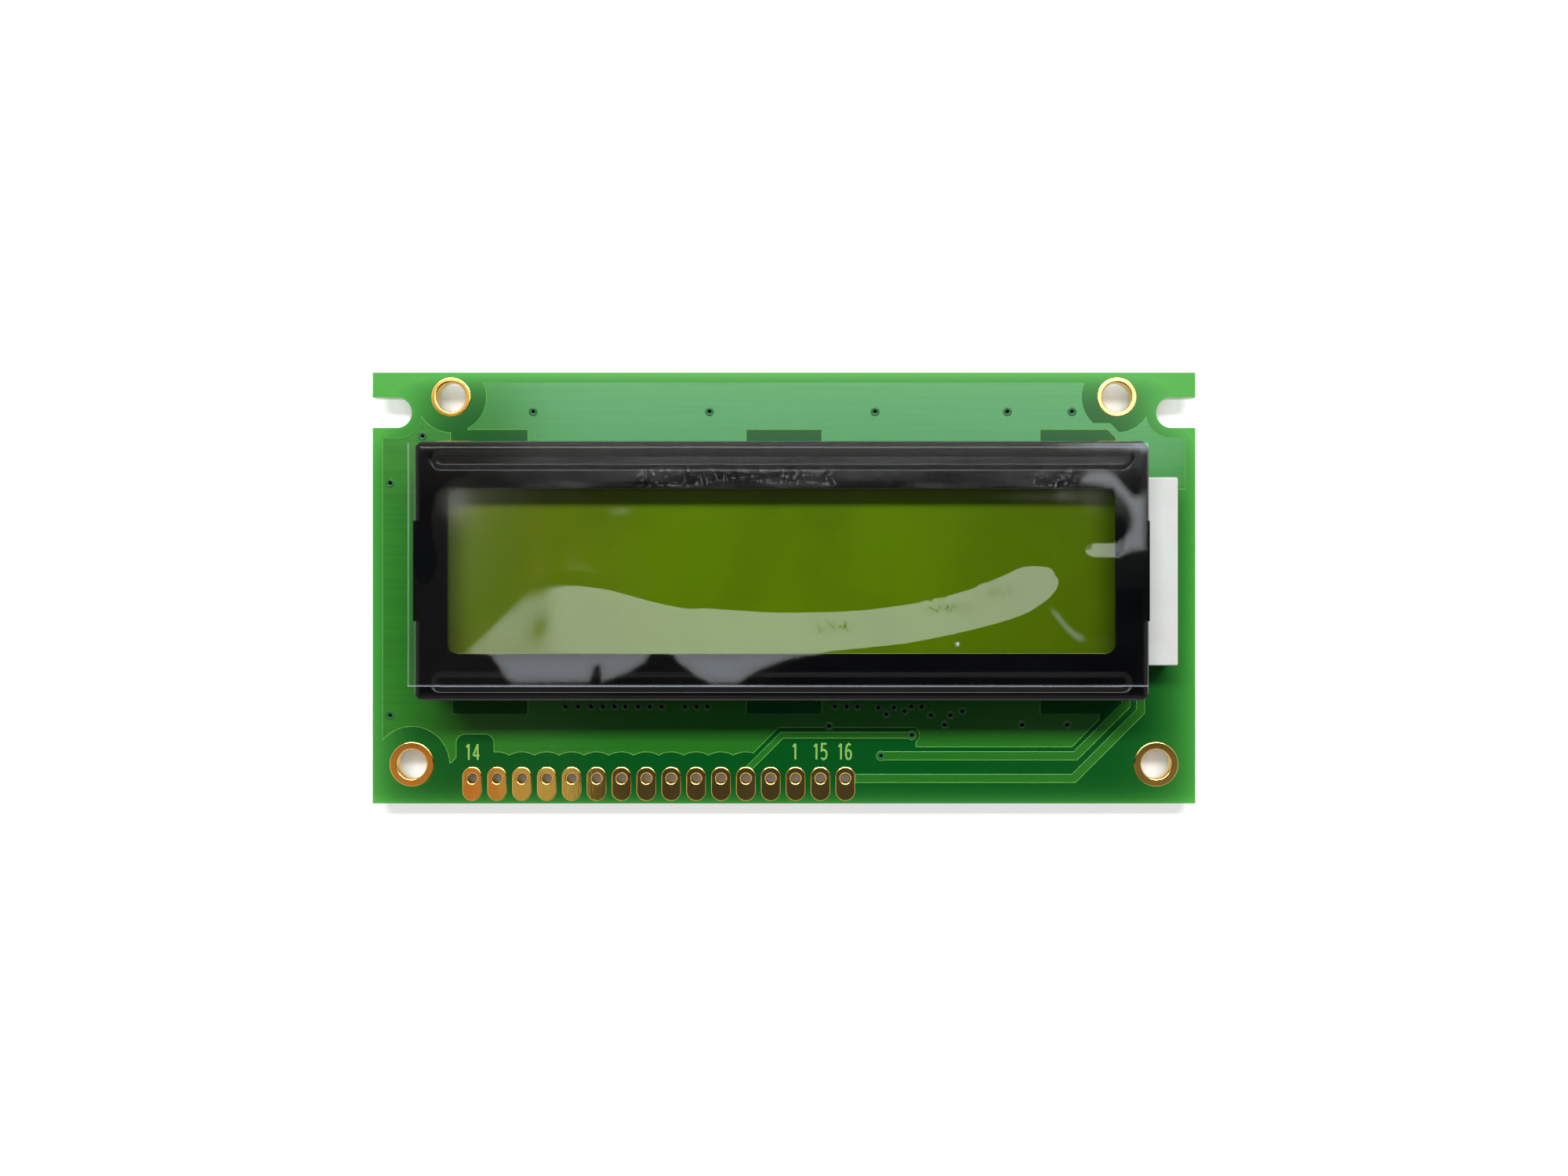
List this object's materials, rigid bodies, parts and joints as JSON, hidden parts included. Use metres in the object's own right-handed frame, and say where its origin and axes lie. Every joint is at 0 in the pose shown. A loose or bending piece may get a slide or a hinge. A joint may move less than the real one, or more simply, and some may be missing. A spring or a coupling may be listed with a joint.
{
  "type": "character LCD module",
  "caption": "Character LCD module: a green circuit board carries a black steel bezel with a clear window over a yellow-green glass display and its backlight.",
  "frame": {"origin": "centre of the circuit board's outline, at the ends of the bezel's twisted tabs, the lowest points of the back", "axes": "+Z out of the display's face, +X along the display, +Y towards the edge away from the header row"},
  "size_m": [0.084, 0.044, 0.0118],
  "materials": {
    "solder_mask": "green solder mask on glass-epoxy laminate, semi-gloss",
    "masked_copper": "copper foil under the green solder mask, semi-gloss",
    "gold_plating": "thin gold over nickel and copper",
    "strip_rubber": "layered conducting silicone rubber, matt",
    "white_plastic": "white opaque moulding",
    "reflector_film": "white reflecting sheet",
    "clear_acrylic": "clear acrylic",
    "diffuser_film": "translucent frosted sheet",
    "led_resin": "yellow-green light-emitting chips in clear resin",
    "tinned_metal": "tinned, bright",
    "polariser_film": "olive transflective film",
    "cell_glass": "soda-lime glass with conducting tracks inside",
    "seal_resin": "epoxy seal",
    "liquid_crystal": "sealed liquid layer",
    "black_steel": "black coated pressed steel, satin",
    "clear_film": "clear peel-off film, glossy",
    "black_resin": "black epoxy resin, slightly glossy",
    "resistor_body": "ceramic chip with a black coat and tinned ends",
    "capacitor_body": "ceramic chip with tinned ends"
  },
  "bodies": {
    "root": {"circuit_board": "solder_mask", "front_copper": "masked_copper", "back_copper": "masked_copper", "header_pads": "gold_plating", "fixing_rings": "gold_plating", "upper_contacts": "gold_plating", "lower_contacts": "gold_plating", "upper_strip": "strip_rubber", "lower_strip": "strip_rubber", "backlight_housing": "white_plastic", "reflector_sheet": "reflector_film", "light_guide": "clear_acrylic", "diffuser_sheet": "diffuser_film", "led_board": "white_plastic", "led_chips": "led_resin", "backlight_pins": "tinned_metal", "backlight_pads": "gold_plating", "backlight_solder": "tinned_metal", "rear_polariser": "polariser_film", "rear_glass": "cell_glass", "cell_seal": "seal_resin", "liquid_crystal": "liquid_crystal", "fill_plug": "seal_resin", "front_glass": "cell_glass", "front_polariser": "polariser_film", "bezel": "black_steel", "protective_film": "clear_film", "controller_dome": "black_resin", "driver_dome": "black_resin", "resistors": "resistor_body", "capacitors": "capacitor_body"}
  },
  "joints": []
}
